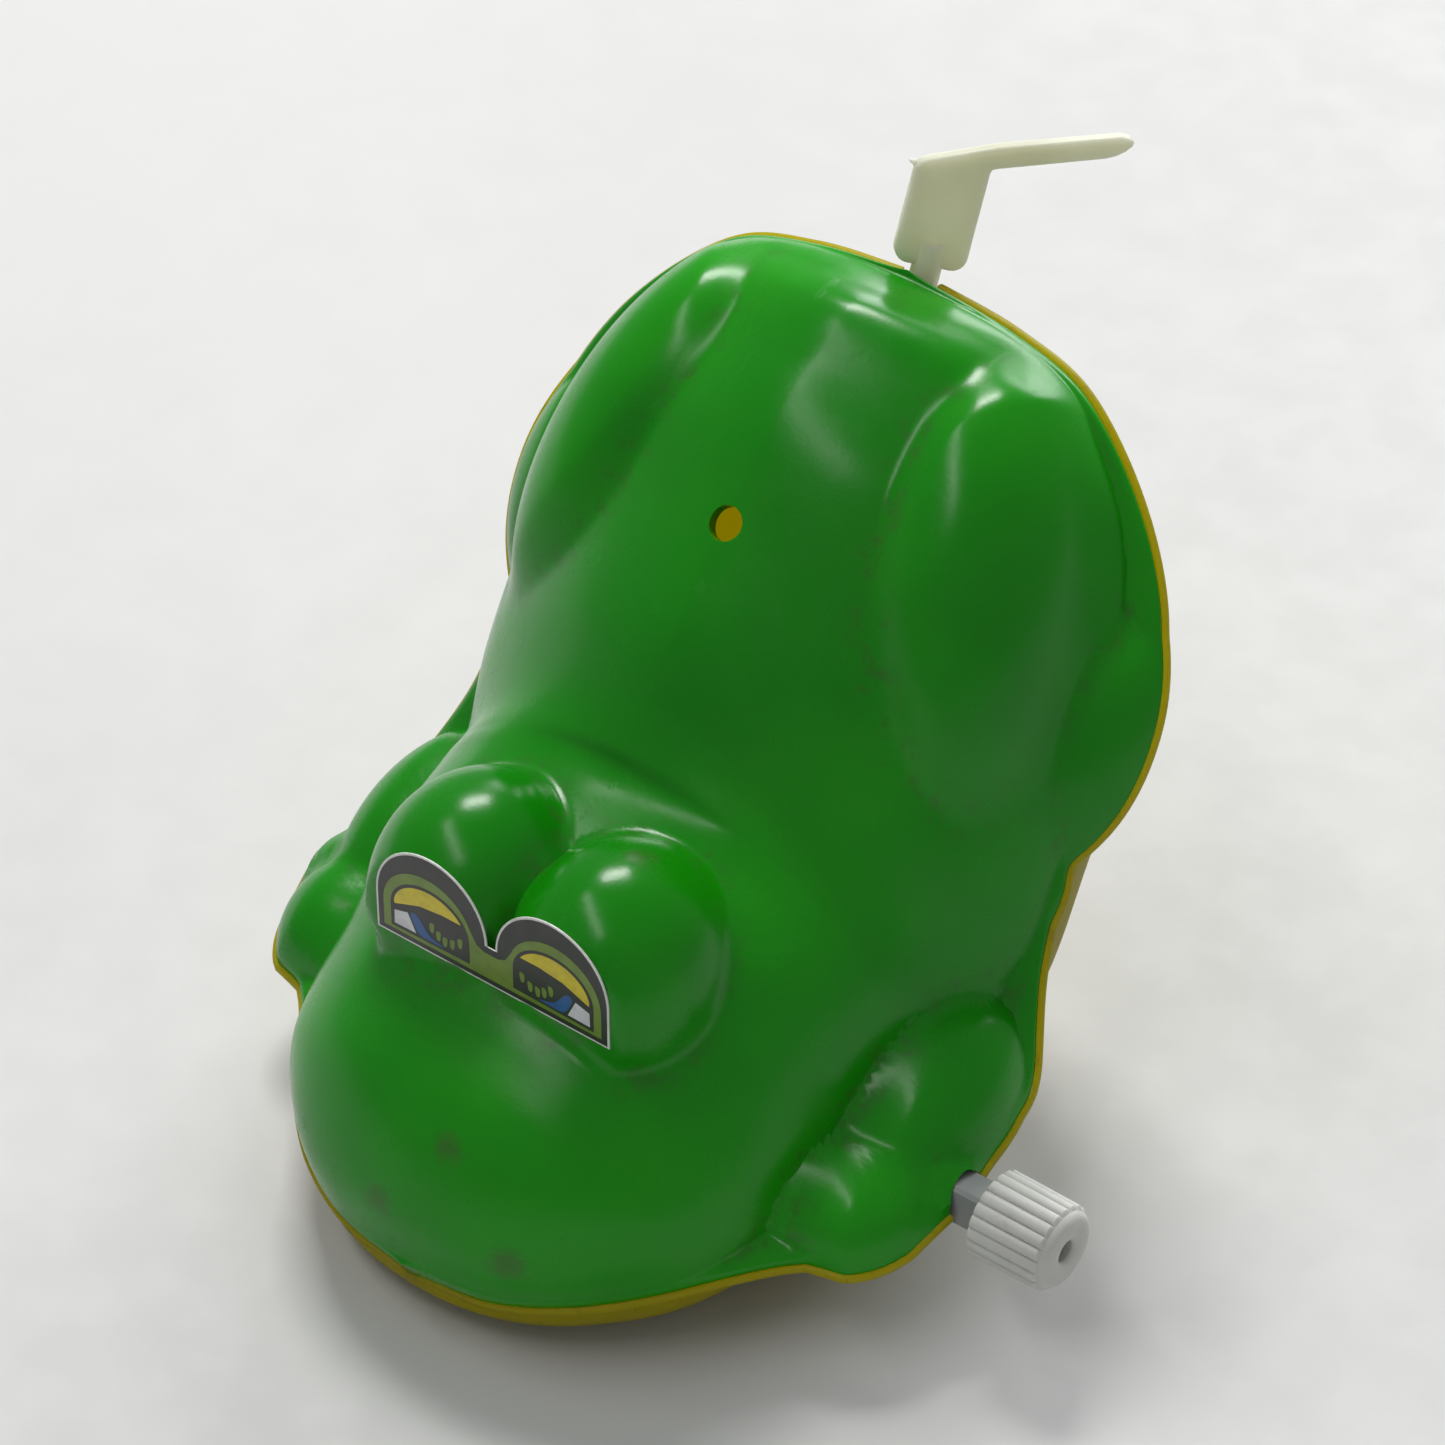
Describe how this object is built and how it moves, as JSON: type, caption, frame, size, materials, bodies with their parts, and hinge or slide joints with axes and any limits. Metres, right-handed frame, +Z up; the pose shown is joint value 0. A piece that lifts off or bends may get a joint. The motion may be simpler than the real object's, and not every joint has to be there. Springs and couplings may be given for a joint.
{
  "type": "wind-up toy frog",
  "caption": "Wind-up toy frog: two moulded body shells on a rim, side winding knob, clockwork motor inside and a flat spinning tail.",
  "frame": {"origin": "on the flat that the belly rests on, in the toy's middle plane, at the place of the belly_rest mount", "axes": "+X to the frog's left, where the winding knob is; -Y to its nose; +Z up, with the belly's flat at z = 0"},
  "size_m": [0.0875, 0.0925, 0.0853],
  "materials": {
    "green_plastic": "glossy moulded green plastic, lightly soiled in the creases",
    "yellow_plastic": "glossy moulded yellow plastic",
    "printed_sticker": "printed paper eye sticker with a cut white edge",
    "knob_plastic": "light grey moulded plastic",
    "shaft_plastic": "mid grey moulded plastic",
    "clear_nylon": "translucent off-white nylon, slightly yellowed",
    "motor_plate": "stamped steel plate",
    "brass": "cut brass wheel",
    "steel": "turned steel"
  },
  "bodies": {
    "shells": {"upper_shell": "green_plastic", "lower_shell": "yellow_plastic", "eye_sticker": "printed_sticker", "mainspring": "steel", "frame_plate_left": "motor_plate", "frame_plate_right": "motor_plate", "frame_pillars": "steel", "frame_nuts": "steel", "tail_bracket": "motor_plate", "tail_bush": "clear_nylon", "belly_bosses": "yellow_plastic", "motor_cradle": "shaft_plastic", "cradle_screws": "steel"},
    "winder": {"winding_knob": "knob_plastic", "winding_shaft": "shaft_plastic", "spring_arbor": "steel", "main_gear": "brass", "ratchet_wheel": "steel", "click_pawl": "steel"},
    "second": {"second_arbor": "steel", "second_gear": "brass", "second_pinion": "brass"},
    "output": {"output_arbor": "steel", "output_pinion": "brass", "crown_wheel": "brass", "governor_gear": "brass"},
    "governor": {"governor_arbor": "steel", "governor_pinion": "brass", "governor_wheel": "brass"},
    "tail": {"tail_shaft": "steel", "tail_pinion": "brass", "tail_kicker": "clear_nylon"}
  },
  "joints": [
    {"name": "winder_turn", "type": "hinge", "parent": "shells", "child": "winder", "pos_m": [0, -0.0047, 0.0127], "axis": [1, 0, 0], "continuous": true},
    {"name": "second_turn", "type": "hinge", "parent": "shells", "child": "second", "pos_m": [0, 0.00537, 0.01922], "axis": [1, 0, 0], "continuous": true},
    {"name": "output_turn", "type": "hinge", "parent": "shells", "child": "output", "pos_m": [0, 0.01587, 0.01922], "axis": [1, 0, 0], "continuous": true},
    {"name": "governor_turn", "type": "hinge", "parent": "shells", "child": "governor", "pos_m": [0, 0.02468, 0.02109], "axis": [1, 0, 0], "continuous": true},
    {"name": "tail_turn", "type": "hinge", "parent": "shells", "child": "tail", "pos_m": [0, 0.0376, 0.073], "axis": [0, 0.3746, 0.9272], "continuous": true}
  ],
  "couplings": [
    {"joint": "second_turn", "follows": "winder_turn", "ratio": -3},
    {"joint": "output_turn", "follows": "winder_turn", "ratio": 7.5},
    {"joint": "governor_turn", "follows": "winder_turn", "ratio": -26.25},
    {"joint": "tail_turn", "follows": "winder_turn", "ratio": 22.5}
  ]
}
